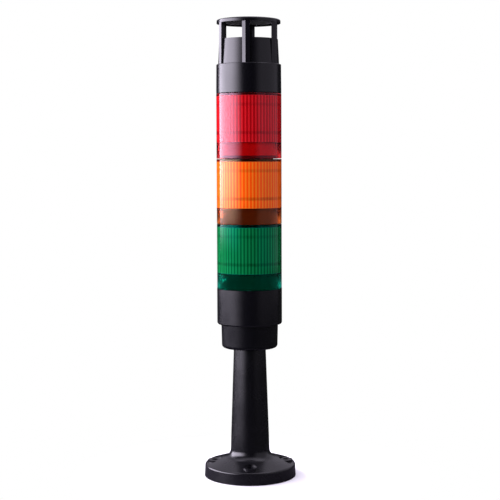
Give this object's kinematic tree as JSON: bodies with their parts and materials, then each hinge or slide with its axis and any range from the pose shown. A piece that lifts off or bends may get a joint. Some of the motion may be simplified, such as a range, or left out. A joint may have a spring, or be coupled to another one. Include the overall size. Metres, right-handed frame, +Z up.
{
  "type": "signal tower",
  "caption": "Modular signal tower on a pole: siren over red, amber and green light modules, each turning on a bayonet, with a connection base, adapter cup and round screw-down foot.",
  "frame": {"origin": "centre of the foot's underside, on the surface the tower stands on", "axes": "+Z up along the tower's axis, -Y the front, +X to the right seen from the front"},
  "size_m": [0.1, 0.1, 0.4974],
  "materials": {
    "black_plastic": "satin moulded glass-filled plastic, black",
    "pole_plastic": "satin moulded plastic, black",
    "red_lens": "clear red polycarbonate, gloss",
    "amber_lens": "clear amber polycarbonate, gloss",
    "green_lens": "clear green polycarbonate, gloss",
    "white_plastic": "white light-scattering plastic",
    "circuit_board": "solder-resist laminate",
    "led_epoxy": "moulded epoxy",
    "contact_brass": "bright, tinned tips",
    "seal_rubber": "soft black rubber",
    "zinc_steel": "zinc plated",
    "terminal_plastic": "grey polyamide",
    "component_plastic": "moulded component bodies",
    "dial_plastic": "pale plastic with a screwdriver slot",
    "membrane_film": "thin plastic film",
    "magnet_iron": "ferrite"
  },
  "bodies": {
    "stand": {"foot_pole": "pole_plastic", "foot_gasket": "seal_rubber", "adapter_cup": "black_plastic", "lock_washer": "zinc_steel", "pole_nut": "zinc_steel", "base_housing": "black_plastic", "base_screws": "zinc_steel", "terminal_block": "terminal_plastic", "terminal_screws": "zinc_steel", "base_collar": "black_plastic", "collar_screws": "zinc_steel", "base_contacts": "contact_brass"},
    "green_module": {"green_lens": "green_lens", "green_socket": "black_plastic", "green_seal": "seal_rubber", "green_collar": "black_plastic", "green_column": "white_plastic", "green_lower_board": "circuit_board", "green_upper_board": "circuit_board", "green_leds": "led_epoxy", "green_contacts": "contact_brass"},
    "amber_module": {"amber_lens": "amber_lens", "amber_socket": "black_plastic", "amber_seal": "seal_rubber", "amber_collar": "black_plastic", "amber_column": "white_plastic", "amber_lower_board": "circuit_board", "amber_upper_board": "circuit_board", "amber_leds": "led_epoxy", "amber_contacts": "contact_brass"},
    "red_module": {"red_lens": "red_lens", "red_socket": "black_plastic", "red_seal": "seal_rubber", "red_collar": "black_plastic", "red_column": "white_plastic", "red_lower_board": "circuit_board", "red_upper_board": "circuit_board", "red_leds": "led_epoxy", "red_contacts": "contact_brass"},
    "siren_module": {"siren_housing": "black_plastic", "siren_cap": "black_plastic", "siren_socket": "black_plastic", "siren_seal": "seal_rubber", "siren_contacts": "contact_brass", "siren_board": "circuit_board", "siren_components": "component_plastic", "sounder_frame": "black_plastic", "sounder_membrane": "membrane_film", "sounder_magnet": "magnet_iron", "sounder_screws": "zinc_steel", "volume_body": "component_plastic", "tone_body": "component_plastic"},
    "volume_control": {"volume_dial": "dial_plastic"},
    "tone_control": {"tone_dial": "dial_plastic"}
  },
  "joints": [
    {"name": "green_twist", "type": "hinge", "parent": "stand", "child": "green_module", "pos_m": [0, 0, 0.2064], "axis": [0, 0, 1], "range_deg": [0, 30]},
    {"name": "amber_twist", "type": "hinge", "parent": "green_module", "child": "amber_module", "pos_m": [0, 0, 0.2764], "axis": [0, 0, 1], "range_deg": [0, 30]},
    {"name": "red_twist", "type": "hinge", "parent": "amber_module", "child": "red_module", "pos_m": [0, 0, 0.3464], "axis": [0, 0, 1], "range_deg": [0, 30]},
    {"name": "siren_twist", "type": "hinge", "parent": "red_module", "child": "siren_module", "pos_m": [0, 0, 0.4164], "axis": [0, 0, 1], "range_deg": [0, 30]},
    {"name": "volume_turn", "type": "hinge", "parent": "siren_module", "child": "volume_control", "pos_m": [-0.0125, -0.017, 0.4403], "axis": [0, 0, 1], "range_deg": [-270, 0]},
    {"name": "tone_turn", "type": "hinge", "parent": "siren_module", "child": "tone_control", "pos_m": [0.0125, -0.017, 0.4403], "axis": [0, 0, 1], "range_deg": [-337.5, 0]}
  ]
}
